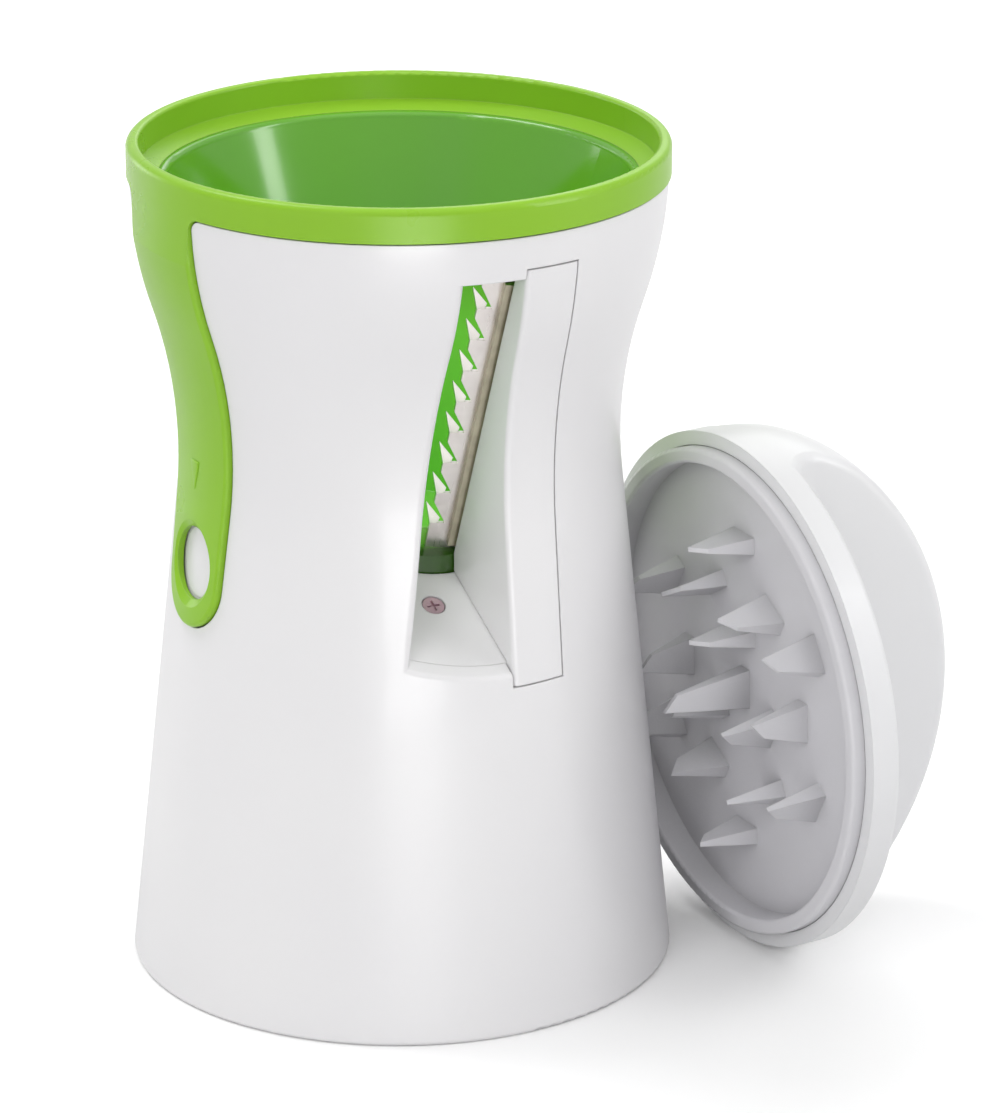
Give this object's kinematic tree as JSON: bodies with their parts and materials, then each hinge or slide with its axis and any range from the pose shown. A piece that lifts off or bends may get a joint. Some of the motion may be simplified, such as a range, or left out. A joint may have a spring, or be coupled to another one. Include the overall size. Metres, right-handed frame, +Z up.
{
  "type": "hand-held cone spiralizer",
  "caption": "Hourglass cone spiralizer with a lift-out funnel and toothed blade, two side release buttons, a strip window and a separate spiked turning cap.",
  "frame": {"origin": "centre of the foot of the hourglass shell, on the surface it stands on", "axes": "+Z up along the funnel's axis, -Y out of the strip window, +X towards the cap that rests beside the shell"},
  "size_m": [0.1323, 0.1139, 0.14],
  "materials": {
    "shell_white": "smooth satin-gloss moulded plastic",
    "button_white": "smooth satin-gloss moulded plastic",
    "housing_white": "plain moulded plastic, unseen",
    "collar_green": "satin-gloss moulded plastic",
    "cone_green": "glossy moulded plastic",
    "cap_white": "smooth satin-gloss moulded plastic",
    "spike_grey": "satin moulded plastic",
    "blade_steel": "bright rolled strip",
    "clamp_steel": "satin bar",
    "screw_steel": "plain screws",
    "spring_steel": "drawn spring wire"
  },
  "bodies": {
    "base": {"outer_shell": "shell_white", "side_panel": "shell_white", "chute_floor": "shell_white", "floor_screw": "screw_steel", "button_housing_left": "housing_white", "button_housing_right": "housing_white", "housing_cover_left": "housing_white", "housing_cover_right": "housing_white", "cover_screws_left": "screw_steel", "cover_screws_right": "screw_steel", "button_spring_left": "spring_steel", "button_spring_right": "spring_steel"},
    "insert": {"rim_collar": "collar_green", "slicing_cone": "cone_green", "julienne_blade": "blade_steel", "blade_clamp": "clamp_steel", "blade_screws": "screw_steel"},
    "button_left": {"release_button_left": "button_white"},
    "button_right": {"release_button_right": "button_white"},
    "cap": {"cap_shell": "cap_white", "spike_plate": "spike_grey"}
  },
  "joints": [
    {"name": "insert_lift", "type": "slide", "parent": "base", "child": "insert", "axis": [0, 0, 1], "range_m": [0, 0.08]},
    {"name": "button_left_press", "type": "slide", "parent": "base", "child": "button_left", "axis": [1, 0, 0], "range_m": [0, 0.0018], "stiffness_N_per_m": 500, "springref_m": -0.003, "deforming": ["button_spring_left"]},
    {"name": "button_right_press", "type": "slide", "parent": "base", "child": "button_right", "axis": [-1, 0, 0], "range_m": [0, 0.0018], "stiffness_N_per_m": 500, "springref_m": -0.003, "deforming": ["button_spring_right"]},
    {"name": "cap_turn", "type": "hinge", "parent": "base", "child": "cap", "pos_m": [0.0496, -0.02465, 0.04401], "axis": [0.9995, 0, 0.0314], "continuous": true}
  ]
}
